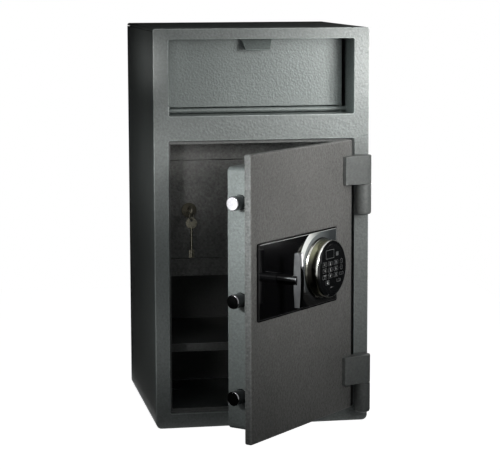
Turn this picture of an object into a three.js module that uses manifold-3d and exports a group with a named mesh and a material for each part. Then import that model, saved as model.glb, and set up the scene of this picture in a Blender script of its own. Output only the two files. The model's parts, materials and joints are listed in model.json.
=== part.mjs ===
// Drop safe with a tilting deposit hopper over a hinged, bolted door, standing open.
// Millimetres, +Z up, front towards -Y, origin at the middle of the underside.
import * as THREE from 'three';
import { mergeVertices } from 'three/addons/utils/BufferGeometryUtils.js';
import Module from 'manifold-3d';

const wasm = await Module();
wasm.setup();

// Body
const bodyWidth = 356;
const bodyDepth = 350;
const bodyHeight = 655;
const bodyWall = 3.5;
const topThickness = 4;
const bendRadius = 9;
const topEdgeRadius = 3.5;
const frontThickness = 6;
const seam = 0.3; // gap left at every welded, screwed or resting joint
const edgeRound = 1.2;

// Openings of the front frame
const doorSideBar = 24;
const doorOpeningBottom = 24.5;
const midBarHeight = 40;
const depositSideBar = 25;
const depositOpeningHeight = 123;
const topBarHeight = 17.5;
const openingCorner = 3;

// Door stop behind the frame, and the bar that the bolts lock behind
const stopDepth = 14;
const stopThickness = 3;
const stopLapSide = 4.5;
const stopLapBottom = 5;
const stopLapTop = 6.5;
const jambWall = 3;
const boltRunning = 0.75;

// Anchor holes in the floor
const anchorRadius = 7;
const anchorInsetX = 70;
const anchorInsetY = 75;

// Ceiling plate over the vault, with the drop hole of the chute
const ceilingThickness = 3;
const ceilingClear = 3.5;
const dropHoleInset = 58;
const dropHoleFront = -50;
const dropHoleBack = 25;

// Deposit housing, hopper and anti-fishing baffle
const housingWall = 2.5;
const housingBack = 32;
const hopperDepth = 57;
const sillBack = 16;
const pivotRise = 4.5;
const pivotRadius = 4;
const hopperSheet = 2;
const hopperSideGap = 8;
const hopperTopGap = 2;
const faceFoot = 6;
const trayLength = 80;
const trayAngle = 113;
const trayStart = 7;
const pullTopWidth = 52;
const pullBottomWidth = 39;
const pullLip = 7;
const pullReach = 13;
const pullDrop = 17;
const baffleDepth = 133.5;
const baffleDrop = 81;
const toothPitch = 12;
const toothDepth = 8;

// Locker inside the vault
const lockerDepth = 112;
const lockerSheet = 3;
const lockerHeight = 242.2;
const lockerTopRail = 45.2;
const lockerBottomRail = 29.5;
const lockerLeftPost = 30.7;
const lockerRightPost = 25.7;
const lockerSeam = 1.2;
const lockerDoorSheet = 2;
const lockerPanDepth = 12;
const lockerPinRadius = 1.6;
const lockerKnuckleRadius = 3.2;
const lockerHingeInset = 5;

// Locker lock and its keys
const lockInset = 38.5; // from the left edge of the locker door's opening
const lockDrop = 84.9; // from its upper edge
const lockerCaseWidth = 54;
const lockerCaseHeight = 64;
const lockerCaseDepth = 14;
const lockerBoltHeight = 16;
const lockerBoltThickness = 8;
const lockerBoltLength = 20.6;
const lockerBoltFront = 2.2;
const escutcheonRadius = 12.75;
const escutcheonThickness = 2;
const keyShankRadius = 2.3;
const keyBitHeight = 11;
const keyBitThickness = 2;
const keyBitLength = 8;
const keyHub = 12.5;
const bowRadius = 9.5;
const bowThickness = 2;
const bowHoleRadius = 2.75;
const bowHoleOffset = 5;
const ringRadius = 5.6;
const ringWire = 0.8;
const ringSlack = 0.8;
const spareBowHeight = 19;
const spareBowTopMargin = 4.3;
const spareShankLength = 38;
const spareBitLength = 13;
const spareBitWidth = 9;

// Shelf on two angle rails
const shelfTop = 118.8;
const shelfSheet = 2.8;
const shelfLip = 13.8;
const railLeg = 18;
const railWall = 3;
const railHeight = 25;

// Door, hung on two weld-on hinges; its own frame has the hinge axis at X = Y = 0
const hingeInset = 12;
const doorAngle = 46.5;
const doorGapSide = 2;
const doorGapEnd = 1.5;
const doorThickness = 12;
const doorCorner = 3.5;
const doorEdgeRound = 2.2;
const barrelRadius = 13;
const barrelHeight = 50;
const barrelRound = 4;
const barrelFoot = 18;
const leafHeight = 46.5;
const leafReach = 44;
const leafEnd = 6.7;
const hingeLift = 1;
const collarRadius = 8.5;
const pinRadius = 5;
const pinHeight = 42;
const pinClearance = 0.3;
const lowerHingeBottom = 18;
const upperHingeDrop = 124.5; // from the top of the door opening to the barrel's foot

// Boltwork casing on the back of the door
const casingDepth = 50;
const casingFreeInset = 31;
const casingHingeInset = 22;
const casingBottomInset = 13;
const casingTopInset = 23.5;
const casingWall = 2.5;
const casingCorner = 8;
const casingFlange = 14;
const coverSheet = 2;
const coverInset = 6;

// Boltwork: three round bolts on one carriage, driven by a crank pin on the spindle
const boltRadius = 11.25;
const boltHoleRadius = 12;
const boltReach = 22; // beyond the casing when drawn back, as photographed
const boltStroke = 20;
const boltMiddleDrop = 5; // below the door's middle
const boltEndInset = 53.75; // from the casing's ends, on average
const boltDepth = 39.5;
const boltChamfer = 1;
const studRadius = 5;
const studLength = 10;
const carriageThickness = 6;
const carriageWidth = 25;
const carriageEnd = 13;
const boltLength = 47;
const armSheet = 5;
const armDepth = 27;
const handleTurn = 80;
const crankPinRadius = 4;
const crankSlotClearance = 0.6;
const camThickness = 5;
const camDepth = 14;
const camRim = 5;
const spindleRadius = 6;

// Lock body under the carriage's tail, and the hard plate in front of it
const lockCaseWidth = 61;
const lockCaseHeight = 83;
const lockCaseDepth = 25;
const lockCaseLeft = 93; // from the spindle towards the hinge, to the far side
const hardPlateThickness = 3;
const hardPlateMargin = 4;
const lockBoltWidth = 20;
const lockBoltThickness = 9;
const lockBoltThrow = 10;
const lockBoltLength = 34;
const lockBoltGap = 1.2;

// Front furniture of the door, measured from its free edge and its middle height
const panelWidth = 235;
const panelHeight = 121.5;
const panelFreeInset = 16;
const furnitureRise = 26.5;
const panelThickness = 3;
const panelCorner = 3;
const spindleFreeInset = 75;
const neckRadius = 8.5;
const handleBarHeight = 85;
const handleBarWidth = 10;
const handleBarMiddle = 13;
const handleBarEnd = 9;
const handleStandoff = 39; // door face to the bar's middle
const keypadFreeInset = 198.6;
const keypadBaseRadius = 49;
const keypadBaseHeight = 2.4;
const keypadBodyRadius = 46.3;
const keypadRimRadius = 45.5;
const keypadRimHeight = 20;
const keypadHeight = 23;
const keypadFaceRadius = 40;
const keypadFaceThickness = 4.6;
const keyWidth = 13.4;
const keyHeight = 7.6;
const keyCorner = 1.4;
const flatKeyHeight = 5;
const roundKeyRadius = 4.7;
const keyProud = 0.5;
const keyLength = 3.9;
const keyPitchAcross = 17.2;
const keyPitchDown = 9.9;
const keyTopRow = 9.6;

// Places worked out from the sizes above
const halfWidth = bodyWidth / 2;
const frontY = -bodyDepth / 2;
const backY = bodyDepth / 2;
const innerHalf = halfWidth - bodyWall;
const frameBackY = frontY + frontThickness;
const doorHalf = halfWidth - doorSideBar;
const depositHalf = halfWidth - depositSideBar;
const depositTopZ = bodyHeight - topBarHeight;
const depositSillZ = depositTopZ - depositOpeningHeight;
const doorTopZ = depositSillZ - midBarHeight;
const hingeX = halfWidth - hingeInset;
const hingeBottoms = [lowerHingeBottom, doorTopZ - upperHingeDrop];
const ceilingZ = doorTopZ + ceilingClear;
const topPlateZ = bodyHeight - topThickness;

const safe = new THREE.Group();
const door = new THREE.Group();
const axisForward = barrelRadius + seam;
door.position.set(hingeX, frontY - axisForward, 0);
door.rotation.z = THREE.MathUtils.degToRad(doorAngle);
safe.add(door);

// Finishes
const paint = (colour) => new THREE.MeshStandardMaterial({ color: colour, roughness: 0.55, metalness: 0.1 });
const bodyPaint = paint(0x4c4f4e);
const doorPaint = paint(0x545352);
const hopperPaint = paint(0x5b615f);
const innerPaint = paint(0x3a3a3a);
const steel = new THREE.MeshStandardMaterial({ color: 0xb8b9ba, roughness: 0.25, metalness: 1 });
const darkSteel = new THREE.MeshStandardMaterial({ color: 0x4a4a4c, roughness: 0.4, metalness: 1 });
const nickel = new THREE.MeshStandardMaterial({ color: 0x9a9893, roughness: 0.35, metalness: 1 });
const castAlloy = new THREE.MeshStandardMaterial({ color: 0x8c8a84, roughness: 0.5, metalness: 0.9 });
const blackGloss = new THREE.MeshStandardMaterial({ color: 0x0b0b0d, roughness: 0.12, metalness: 0 });
const blackKey = new THREE.MeshStandardMaterial({ color: 0x141517, roughness: 0.35, metalness: 0 });

function addPart(name, geometry, material, parent = safe) {
  const mesh = new THREE.Mesh(geometry, material);
  mesh.name = name;
  parent.add(mesh);
  return mesh;
}

// Booleans: geometry to solid and back
function solid(geometry) {
  const bare = geometry.clone();
  bare.deleteAttribute('normal');
  bare.deleteAttribute('uv');
  const merged = mergeVertices(bare, 1e-4);
  return new wasm.Manifold(new wasm.Mesh({
    numProp: 3,
    vertProperties: new Float32Array(merged.attributes.position.array),
    triVerts: new Uint32Array(merged.index.array),
  }));
}

function geometryOf(manifold) {
  const mesh = manifold.getMesh();
  const geometry = new THREE.BufferGeometry();
  geometry.setAttribute('position', new THREE.BufferAttribute(new Float32Array(mesh.vertProperties), 3));
  geometry.setIndex(new THREE.BufferAttribute(new Uint32Array(mesh.triVerts), 1));
  geometry.computeVertexNormals();
  return geometry;
}

function cut(base, ...tools) {
  return geometryOf(tools.reduce((body, tool) => body.subtract(solid(tool)), solid(base)));
}

function join(base, ...additions) {
  return geometryOf(additions.reduce((body, piece) => body.add(solid(piece)), solid(base)));
}

// Blocks, rods and plates laid along the axes
function block(x0, x1, y0, y1, z0, z1) {
  const geometry = new THREE.BoxGeometry(x1 - x0, y1 - y0, z1 - z0);
  return geometry.translate((x0 + x1) / 2, (y0 + y1) / 2, (z0 + z1) / 2);
}

function rodX(radius, x0, x1, y, z, sides = 24) {
  const geometry = new THREE.CylinderGeometry(radius, radius, x1 - x0, sides);
  return geometry.rotateZ(-Math.PI / 2).translate((x0 + x1) / 2, y, z);
}

function rodY(radius, x, y0, y1, z, sides = 32) {
  const geometry = new THREE.CylinderGeometry(radius, radius, y1 - y0, sides);
  return geometry.translate(x, (y0 + y1) / 2, z);
}

function rodZ(radius, x, y, z0, z1, sides = 32) {
  const geometry = new THREE.CylinderGeometry(radius, radius, z1 - z0, sides);
  return geometry.rotateX(Math.PI / 2).translate(x, y, (z0 + z1) / 2);
}

// A shape drawn in X and Z, as thick as y0 to y1; bevel rounds its long edges
function plateXZ(shape, y0, y1, bevel = 0, curveSegments = 8) {
  const geometry = new THREE.ExtrudeGeometry(shape, {
    depth: y1 - y0 - 2 * bevel,
    bevelEnabled: bevel > 0,
    bevelThickness: bevel,
    bevelSize: bevel,
    bevelOffset: -bevel,
    bevelSegments: 2,
    curveSegments,
  });
  return geometry.rotateX(Math.PI / 2).translate(0, y1 - bevel, 0);
}

// A shape drawn in Y and Z, as wide as x0 to x1
function plateYZ(shape, x0, x1, curveSegments = 8) {
  const geometry = new THREE.ExtrudeGeometry(shape, { depth: x1 - x0, bevelEnabled: false, curveSegments });
  const turn = new THREE.Matrix4().makeBasis(
    new THREE.Vector3(0, 1, 0),
    new THREE.Vector3(0, 0, 1),
    new THREE.Vector3(1, 0, 0),
  );
  return geometry.applyMatrix4(turn).translate(x0, 0, 0);
}

// A shape drawn in X and Y, from z0 up to z1
function plateXY(shape, z0, z1, curveSegments = 8) {
  const geometry = new THREE.ExtrudeGeometry(shape, { depth: z1 - z0, bevelEnabled: false, curveSegments });
  return geometry.translate(0, 0, z0);
}

function polygon(points) {
  return new THREE.Shape(points.map(([a, b]) => new THREE.Vector2(a, b)));
}

// A rectangle with its lower and upper corners rounded, or left sharp where the radius is 0
function roundedRect(x0, x1, z0, z1, lower, upper = lower, Kind = THREE.Shape) {
  const shape = new Kind();
  const corner = (x, z, radius, start) => {
    if (radius > 0) shape.absarc(x, z, radius, start, start + Math.PI / 2);
    else shape.lineTo(x, z);
  };
  shape.moveTo(x0 + lower, z0);
  corner(x1 - lower, z0 + lower, lower, -Math.PI / 2);
  corner(x1 - upper, z1 - upper, upper, 0);
  corner(x0 + upper, z1 - upper, upper, Math.PI / 2);
  corner(x0 + lower, z0 + lower, lower, Math.PI);
  return shape;
}

// Body wrap: floor and both sides in one bent sheet
const wrapTopZ = topPlateZ - seam;
const wrapFrontY = frameBackY + seam;
const innerBend = bendRadius - bodyWall;
const wrapShape = new THREE.Shape();
wrapShape.moveTo(-halfWidth, wrapTopZ);
wrapShape.lineTo(-halfWidth, bendRadius);
wrapShape.absarc(-halfWidth + bendRadius, bendRadius, bendRadius, Math.PI, 1.5 * Math.PI);
wrapShape.lineTo(halfWidth - bendRadius, 0);
wrapShape.absarc(halfWidth - bendRadius, bendRadius, bendRadius, -Math.PI / 2, 0);
wrapShape.lineTo(halfWidth, wrapTopZ);
wrapShape.lineTo(innerHalf, wrapTopZ);
wrapShape.lineTo(innerHalf, bendRadius);
wrapShape.absarc(halfWidth - bendRadius, bendRadius, innerBend, 0, -Math.PI / 2, true);
wrapShape.lineTo(-halfWidth + bendRadius, bodyWall);
wrapShape.absarc(-halfWidth + bendRadius, bendRadius, innerBend, -Math.PI / 2, -Math.PI, true);
wrapShape.closePath();
const anchorHoles = [];
for (const sideX of [-1, 1]) {
  for (const sideY of [-1, 1]) {
    const x = sideX * (halfWidth - anchorInsetX);
    const y = sideY * (backY - anchorInsetY);
    anchorHoles.push(rodZ(anchorRadius, x, y, -1, bodyWall + 1, 24));
  }
}
addPart('body_wrap', cut(plateXZ(wrapShape, wrapFrontY, backY), ...anchorHoles), bodyPaint);

const topShape = roundedRect(-halfWidth, halfWidth, topPlateZ, bodyHeight, 0, topEdgeRadius);
addPart('top_plate', plateXZ(topShape, wrapFrontY, backY), bodyPaint);

const backShape = roundedRect(
  -innerHalf + seam, innerHalf - seam, bodyWall + seam, topPlateZ - seam, innerBend, 0.5);
addPart('back_plate', plateXZ(backShape, backY - bodyWall, backY), bodyPaint);

// Front frame: one thick plate with the deposit opening over the door opening
const frameShape = roundedRect(-halfWidth, halfWidth, 0, bodyHeight, bendRadius, topEdgeRadius);
frameShape.holes.push(roundedRect(
  -doorHalf, doorHalf, doorOpeningBottom, doorTopZ, openingCorner, openingCorner, THREE.Path));
frameShape.holes.push(roundedRect(
  -depositHalf, depositHalf, depositSillZ, depositTopZ, openingCorner, openingCorner, THREE.Path));
addPart('front_frame', plateXZ(frameShape, frontY, frameBackY, edgeRound, 4), bodyPaint);

// Door jamb: the sleeve behind the opening, the stop flange and the bar behind which the bolts lock
const stopY = frontY + stopDepth;
const keeperY = frontY + boltDepth - boltRadius - boltRunning;
const jambOuter = innerHalf - seam;
const sleeveShape = roundedRect(
  -doorHalf - jambWall, doorHalf + jambWall, doorOpeningBottom - jambWall, doorTopZ + jambWall,
  openingCorner);
sleeveShape.holes.push(roundedRect(
  -doorHalf, doorHalf, doorOpeningBottom, doorTopZ, openingCorner, openingCorner, THREE.Path));
const stopShape = roundedRect(
  -jambOuter, jambOuter, bodyWall + seam, doorTopZ + jambWall, innerBend, 0.5);
stopShape.holes.push(roundedRect(
  -doorHalf + stopLapSide, doorHalf - stopLapSide,
  doorOpeningBottom + stopLapBottom, doorTopZ - stopLapTop, openingCorner, openingCorner, THREE.Path));
const keeperBar = block(
  -jambOuter, -doorHalf, wrapFrontY, keeperY, doorOpeningBottom, doorTopZ);
addPart('door_jamb', join(
  plateXZ(sleeveShape, wrapFrontY, stopY + stopThickness, 0, 4),
  plateXZ(stopShape, stopY, stopY + stopThickness, 0, 4),
  keeperBar), bodyPaint);

// Ceiling of the vault, with the hole that deposits drop through
const ceilingPlate = block(
  -jambOuter, jambOuter, wrapFrontY, backY - bodyWall - seam, ceilingZ, ceilingZ + ceilingThickness);
const dropHole = block(
  -halfWidth + dropHoleInset, halfWidth - dropHoleInset, dropHoleFront, dropHoleBack,
  ceilingZ - 1, ceilingZ + ceilingThickness + 1);
addPart('vault_ceiling', cut(ceilingPlate, dropHole), innerPaint);

// Deposit housing: a hood behind the upper opening that turns down into the chute
const pivotY = frontY + hopperDepth + hopperSheet;
const pivotZ = depositSillZ + pivotRise;
const housingFoot = ceilingZ + ceilingThickness + seam;
const sillEndY = pivotY - sillBack;
const housingOuter = polygon([
  [wrapFrontY, depositSillZ - housingWall],
  [sillEndY - housingWall, depositSillZ - housingWall],
  [sillEndY - housingWall, housingFoot],
  [housingBack, housingFoot],
  [housingBack, depositTopZ + housingWall],
  [wrapFrontY, depositTopZ + housingWall],
]);
const housingInner = polygon([
  [wrapFrontY - 1, depositSillZ],
  [sillEndY, depositSillZ],
  [sillEndY, housingFoot - 1],
  [housingBack - housingWall, housingFoot - 1],
  [housingBack - housingWall, depositTopZ],
  [wrapFrontY - 1, depositTopZ],
]);
const housingHalf = depositHalf + housingWall;
addPart('deposit_housing', cut(
  plateYZ(housingOuter, -housingHalf, housingHalf),
  plateYZ(housingInner, -depositHalf, depositHalf),
  rodX(pivotRadius + seam, -housingHalf - 1, housingHalf + 1, pivotY, pivotZ)), hopperPaint);
addPart('hopper_pivot_rod', rodX(pivotRadius, -housingHalf, housingHalf, pivotY, pivotZ), steel);

// Anti-fishing baffle: a saw-toothed plate hanging from the roof of the housing
const baffleY = frontY + baffleDepth;
const baffleTop = depositTopZ - seam;
const baffleBottom = depositTopZ - baffleDrop;
const baffleHalf = depositHalf - seam;
const toothCount = Math.round((2 * baffleHalf) / toothPitch);
const baffleShape = new THREE.Shape();
baffleShape.moveTo(-baffleHalf, baffleTop);
for (let i = 0; i < toothCount; i += 1) {
  const left = -baffleHalf + (2 * baffleHalf * i) / toothCount;
  const right = -baffleHalf + (2 * baffleHalf * (i + 1)) / toothCount;
  baffleShape.lineTo(left, baffleBottom + toothDepth);
  baffleShape.lineTo((left + right) / 2, baffleBottom);
  if (i === toothCount - 1) baffleShape.lineTo(right, baffleBottom + toothDepth);
}
baffleShape.lineTo(baffleHalf, baffleTop);
baffleShape.closePath();
addPart('antifish_baffle', plateXZ(baffleShape, baffleY, baffleY + hopperSheet), innerPaint);

// Hopper, drawn from its pivot: face with the bent pull, two cheeks and the tray
const hopperHalf = depositHalf - hopperSideGap;
const faceTop = depositTopZ - hopperTopGap - pivotZ;
const faceShape = roundedRect(-hopperHalf, hopperHalf, faceFoot, faceTop, 0.5);
const facePlate = plateXZ(faceShape, -hopperSheet, 0);
const pullProfile = polygon([
  [-hopperSheet + 0.5, faceTop],
  [-hopperSheet - pullLip, faceTop],
  [-hopperSheet - pullLip - pullReach, faceTop - pullDrop],
  [-hopperSheet - pullLip - pullReach + hopperSheet, faceTop - pullDrop - 1],
  [-hopperSheet - pullLip + 1.2, faceTop - hopperSheet],
  [-hopperSheet + 0.5, faceTop - hopperSheet],
]);
const pullOutline = polygon([
  [-pullBottomWidth / 2, faceTop - pullDrop - 2],
  [pullBottomWidth / 2, faceTop - pullDrop - 2],
  [pullTopWidth / 2, faceTop + 1],
  [-pullTopWidth / 2, faceTop + 1],
]);
const pullTab = solid(plateYZ(pullProfile, -pullTopWidth, pullTopWidth)).intersect(
  solid(plateXZ(pullOutline, -2 * (pullLip + pullReach), hopperSheet)));
const hopperFace = addPart('hopper_face', geometryOf(solid(facePlate).add(pullTab)), hopperPaint);
hopperFace.position.set(0, pivotY, pivotZ);

const trayTurn = THREE.MathUtils.degToRad(trayAngle);
const cheekShape = polygon([
  [seam, -6],
  [seam, faceTop - 3],
  [35, faceTop - 12],
  [70, 60],
  [trayLength * Math.sin(trayTurn) + 2, 30],
  [trayLength * Math.sin(trayTurn), trayLength * Math.cos(trayTurn)],
  [6, -7],
]);
const cheekPlate = (x0) => cut(
  plateYZ(cheekShape, x0, x0 + hopperSheet),
  rodX(pivotRadius + seam, x0 - 1, x0 + hopperSheet + 1, 0, 0));
const cheekPlaces = { hopper_cheek_left: -hopperHalf, hopper_cheek_right: hopperHalf - hopperSheet };
for (const [name, x0] of Object.entries(cheekPlaces)) {
  const cheek = addPart(name, cheekPlate(x0), hopperPaint);
  cheek.position.set(0, pivotY, pivotZ);
}

const trayHalf = hopperHalf - hopperSheet - seam;
const tray = addPart(
  'hopper_tray', block(-trayHalf, trayHalf, 0, hopperSheet, trayStart, trayLength - 2), hopperPaint);
tray.position.set(0, pivotY, pivotZ);
tray.rotation.x = -trayTurn;

// Locker front: one plate with the locker door's opening, and the floor behind it
const lockerY = frontY + lockerDepth;
const lockerTop = ceilingZ - seam;
const lockerBottom = lockerTop - lockerHeight;
const lockerDoorBottom = lockerBottom + lockerBottomRail;
const lockerDoorTop = lockerTop - lockerTopRail;
const lockerLeft = -jambOuter + lockerLeftPost;
const lockerRight = jambOuter - lockerRightPost;
const lockX = lockerLeft + lockInset;
const lockZ = lockerDoorTop - lockDrop;
const lockerFrameShape = roundedRect(-jambOuter, jambOuter, lockerBottom, lockerTop, 0.5);
lockerFrameShape.holes.push(roundedRect(
  lockerLeft, lockerRight, lockerDoorBottom, lockerDoorTop, 0.5, 0.5, THREE.Path));
addPart('locker_frame', plateXZ(lockerFrameShape, lockerY, lockerY + lockerSheet, 0, 2), innerPaint);
addPart('locker_floor', block(
  -jambOuter, jambOuter, lockerY + lockerSheet + seam, backY - bodyWall - seam,
  lockerDoorBottom - lockerSheet - seam, lockerDoorBottom - seam), innerPaint);

// Locker door: a folded pan hung on a rod at its right edge
const lockerHingeX = lockerRight - lockerHingeInset;
const lockerHingeY = lockerY + 1;
const panLeft = lockerLeft + lockerSeam;
const panRight = lockerHingeX - 2;
const panBottom = lockerDoorBottom + lockerSeam;
const panTop = lockerDoorTop - lockerSeam;
const panBackY = lockerY + lockerPanDepth;
const lockerBoltY0 = lockerY + lockerDoorSheet + lockerBoltFront;
const lockerBoltY1 = lockerBoltY0 + lockerBoltThickness;
const lockBoltHalf = lockerBoltHeight / 2;
const lockerDoorGeometry = geometryOf(
  solid(block(panLeft, panRight, lockerY, panBackY, panBottom, panTop))
    .subtract(solid(block(
      panLeft + lockerDoorSheet, panRight - lockerDoorSheet, lockerY + lockerDoorSheet, panBackY + 1,
      panBottom + lockerDoorSheet, panTop - lockerDoorSheet)))
    .add(solid(rodZ(lockerKnuckleRadius, lockerHingeX, lockerHingeY, panBottom, panTop, 20)))
    .subtract(solid(rodZ(lockerPinRadius + seam, lockerHingeX, lockerHingeY, panBottom - 1, panTop + 1, 20)))
    .subtract(solid(rodY(keyBitHeight / 2 + 1, lockX, lockerY - 1, lockerY + lockerDoorSheet + 1, lockZ, 24)))
    .subtract(solid(block(
      panLeft - 1, panLeft + lockerDoorSheet + 1, lockerBoltY0 - seam, lockerBoltY1 + seam,
      lockZ - lockBoltHalf - seam, lockZ + lockBoltHalf + seam))));
addPart('locker_door', lockerDoorGeometry, innerPaint);
addPart('locker_hinge_rod', rodZ(
  lockerPinRadius, lockerHingeX, lockerHingeY, lockerDoorBottom + seam, lockerDoorTop - seam, 20), steel);

// Locker lock: case behind the pan's face, its bolt, escutcheon and the key standing in it
const caseFrontY = lockerY + lockerDoorSheet + seam;
const caseLeft = panLeft + lockerDoorSheet + 6;
const caseRight = caseLeft + lockerCaseWidth;
const boltPocketRight = panLeft + lockerDoorSheet + lockerBoltLength + 1;
const caseHalf = lockerCaseHeight / 2;
const caseBackY = caseFrontY + lockerCaseDepth;
addPart('locker_lock_case', cut(
  block(caseLeft, caseRight, caseFrontY, caseBackY, lockZ - caseHalf, lockZ + caseHalf),
  block(caseLeft - 1, boltPocketRight, lockerBoltY0 - seam, lockerBoltY1 + seam,
    lockZ - lockBoltHalf - seam, lockZ + lockBoltHalf + seam),
  rodY(keyBitHeight / 2 + 0.7, lockX, caseFrontY - 1, caseBackY - 1.5, lockZ, 24)), darkSteel);
addPart('locker_lock_bolt', block(
  panLeft + lockerDoorSheet + 0.4, panLeft + lockerDoorSheet + 0.4 + lockerBoltLength,
  lockerBoltY0, lockerBoltY1, lockZ - lockBoltHalf, lockZ + lockBoltHalf), steel);
const escutcheonY = lockerY - seam;
addPart('locker_escutcheon', cut(
  rodY(escutcheonRadius, lockX, escutcheonY - escutcheonThickness, escutcheonY, lockZ),
  rodY(keyShankRadius + 0.5, lockX, escutcheonY - escutcheonThickness - 1, escutcheonY + 1, lockZ, 20),
  block(lockX - keyBitThickness / 2 - 0.3, lockX + keyBitThickness / 2 + 0.3,
    escutcheonY - escutcheonThickness - 1, escutcheonY + 1,
    lockZ - keyBitHeight / 2 - 0.4, lockZ + keyBitHeight / 2 + 0.4)), nickel);

const keyHubY = escutcheonY - escutcheonThickness - keyHub;
const bowY = keyHubY - bowRadius + 1;
const ringY = bowY - bowHoleOffset;
const bitEndY = caseBackY - 3;
const bowHalf = bowThickness / 2;
const keyBow = rodX(bowRadius, lockX - bowHalf, lockX + bowHalf, bowY, lockZ, 32);
const keyBowHole = rodX(bowHoleRadius, lockX - bowThickness, lockX + bowThickness, ringY, lockZ, 24);
const keyBit = block(
  lockX - keyBitThickness / 2, lockX + keyBitThickness / 2, bitEndY - keyBitLength, bitEndY,
  lockZ - keyBitHeight / 2, lockZ + keyBitHeight / 2);
const keyShank = rodY(keyShankRadius, lockX, keyHubY - 2, bitEndY, lockZ, 20);
addPart('locker_key', cut(join(keyShank, keyBow, keyBit), keyBowHole), nickel);

// Key ring through both bows, and the spare key hanging from it
const ringTopZ = lockZ - bowHoleRadius + ringWire + ringSlack;
const ringCentreZ = ringTopZ - ringRadius;
const ringTorus = new THREE.TorusGeometry(ringRadius, ringWire, 8, 28).rotateX(Math.PI / 2);
const keyRing = addPart('key_ring', ringTorus.rotateZ(Math.PI / 4), steel);
keyRing.position.set(lockX, ringY, ringCentreZ);

const spareHoleZ = ringCentreZ - ringRadius + ringWire + ringSlack - bowHoleRadius;
const spareTopZ = spareHoleZ + spareBowTopMargin;
const spareBowZ = spareTopZ - bowRadius;
const spareShankTop = spareTopZ - spareBowHeight + 2;
const spareEndZ = spareShankTop - spareShankLength - spareBitLength;
const spareBow = rodY(bowRadius, lockX, ringY - bowHalf, ringY + bowHalf, spareBowZ, 32);
const spareBowHole = rodY(
  bowHoleRadius, lockX, ringY - bowThickness, ringY + bowThickness, spareHoleZ, 24);
const spareBit = block(
  lockX - spareBitWidth / 2, lockX + spareBitWidth / 2, ringY - bowHalf, ringY + bowHalf,
  spareEndZ, spareEndZ + spareBitLength);
const spareShank = rodZ(keyShankRadius, lockX, ringY, spareEndZ, spareShankTop, 20);
addPart('spare_key', cut(join(spareShank, spareBow, spareBit), spareBowHole), nickel);

// Shelf with a turned-down lip, on two angle rails
const shelfEndY = backY - bodyWall - seam;
const shelfHalf = innerHalf - 2;
const shelfProfile = polygon([
  [lockerY, shelfTop],
  [lockerY, shelfTop - shelfLip],
  [lockerY + shelfSheet, shelfTop - shelfLip],
  [lockerY + shelfSheet, shelfTop - shelfSheet],
  [shelfEndY, shelfTop - shelfSheet],
  [shelfEndY, shelfTop],
]);
addPart('shelf', plateYZ(shelfProfile, -shelfHalf, shelfHalf), innerPaint);
const railTop = shelfTop - shelfSheet - seam;
for (const [name, side] of [['shelf_rail_left', -1], ['shelf_rail_right', 1]]) {
  const railShape = polygon([
    [side * jambOuter, railTop],
    [side * (jambOuter - railLeg), railTop],
    [side * (jambOuter - railLeg), railTop - railWall],
    [side * (jambOuter - railWall), railTop - railWall],
    [side * (jambOuter - railWall), railTop - railHeight],
    [side * jambOuter, railTop - railHeight],
  ]);
  addPart(name, plateXZ(railShape, lockerY + 2 * shelfSheet, shelfEndY - 5), innerPaint);
}

// Body halves of the hinges: a barrel with a weld foot, a collar and the pin
hingeBottoms.forEach((bottom, i) => {
  const top = bottom + barrelHeight;
  const profile = [
    new THREE.Vector2(0, 0),
    new THREE.Vector2(barrelRadius - barrelRound, 0),
    new THREE.Vector2(barrelRadius - 0.3 * barrelRound, 0.3 * barrelRound),
    new THREE.Vector2(barrelRadius, barrelRound),
    new THREE.Vector2(barrelRadius, barrelHeight),
    new THREE.Vector2(collarRadius, barrelHeight),
    new THREE.Vector2(collarRadius, barrelHeight + hingeLift - seam),
    new THREE.Vector2(pinRadius, barrelHeight + hingeLift - seam),
    new THREE.Vector2(pinRadius, barrelHeight + pinHeight),
    new THREE.Vector2(0, barrelHeight + pinHeight),
  ];
  const turned = new THREE.LatheGeometry(profile, 36).rotateX(Math.PI / 2);
  turned.translate(hingeX, frontY - axisForward, bottom);
  const foot = block(
    hingeX - barrelFoot / 2, hingeX + barrelFoot / 2, frontY - axisForward, frontY - seam,
    bottom + barrelRound, top);
  addPart(['hinge_barrel_lower', 'hinge_barrel_upper'][i], join(turned, foot), bodyPaint);
});

// Places in the door's own frame: X runs from the free edge (negative) to the axis,
// Y runs back from the axis, so the door's outer face is at axisForward
const faceY = axisForward;
const doorBackY = faceY + doorThickness;
const doorFreeX = -(doorHalf + hingeX) + doorGapSide;
const doorHingeX = doorHalf - hingeX - doorGapSide;
const doorBottomZ = doorOpeningBottom + doorGapEnd;
const doorTopEdgeZ = doorTopZ - doorGapEnd;
const doorMiddleZ = (doorBottomZ + doorTopEdgeZ) / 2;
const furnitureZ = doorMiddleZ + furnitureRise;
const spindleX = doorFreeX + spindleFreeInset;
const keypadX = doorFreeX + keypadFreeInset;

// Door plate with the spindle hole and the keypad's cable hole
const doorShape = roundedRect(doorFreeX, doorHingeX, doorBottomZ, doorTopEdgeZ, doorCorner);
addPart('door_plate', cut(
  plateXZ(doorShape, faceY, doorBackY, doorEdgeRound, 4),
  rodY(spindleRadius + 0.5, spindleX, faceY - 1, doorBackY + 1, furnitureZ, 24),
  rodY(spindleRadius, keypadX, faceY - 1, doorBackY + 1, furnitureZ, 24)), doorPaint, door);

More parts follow.
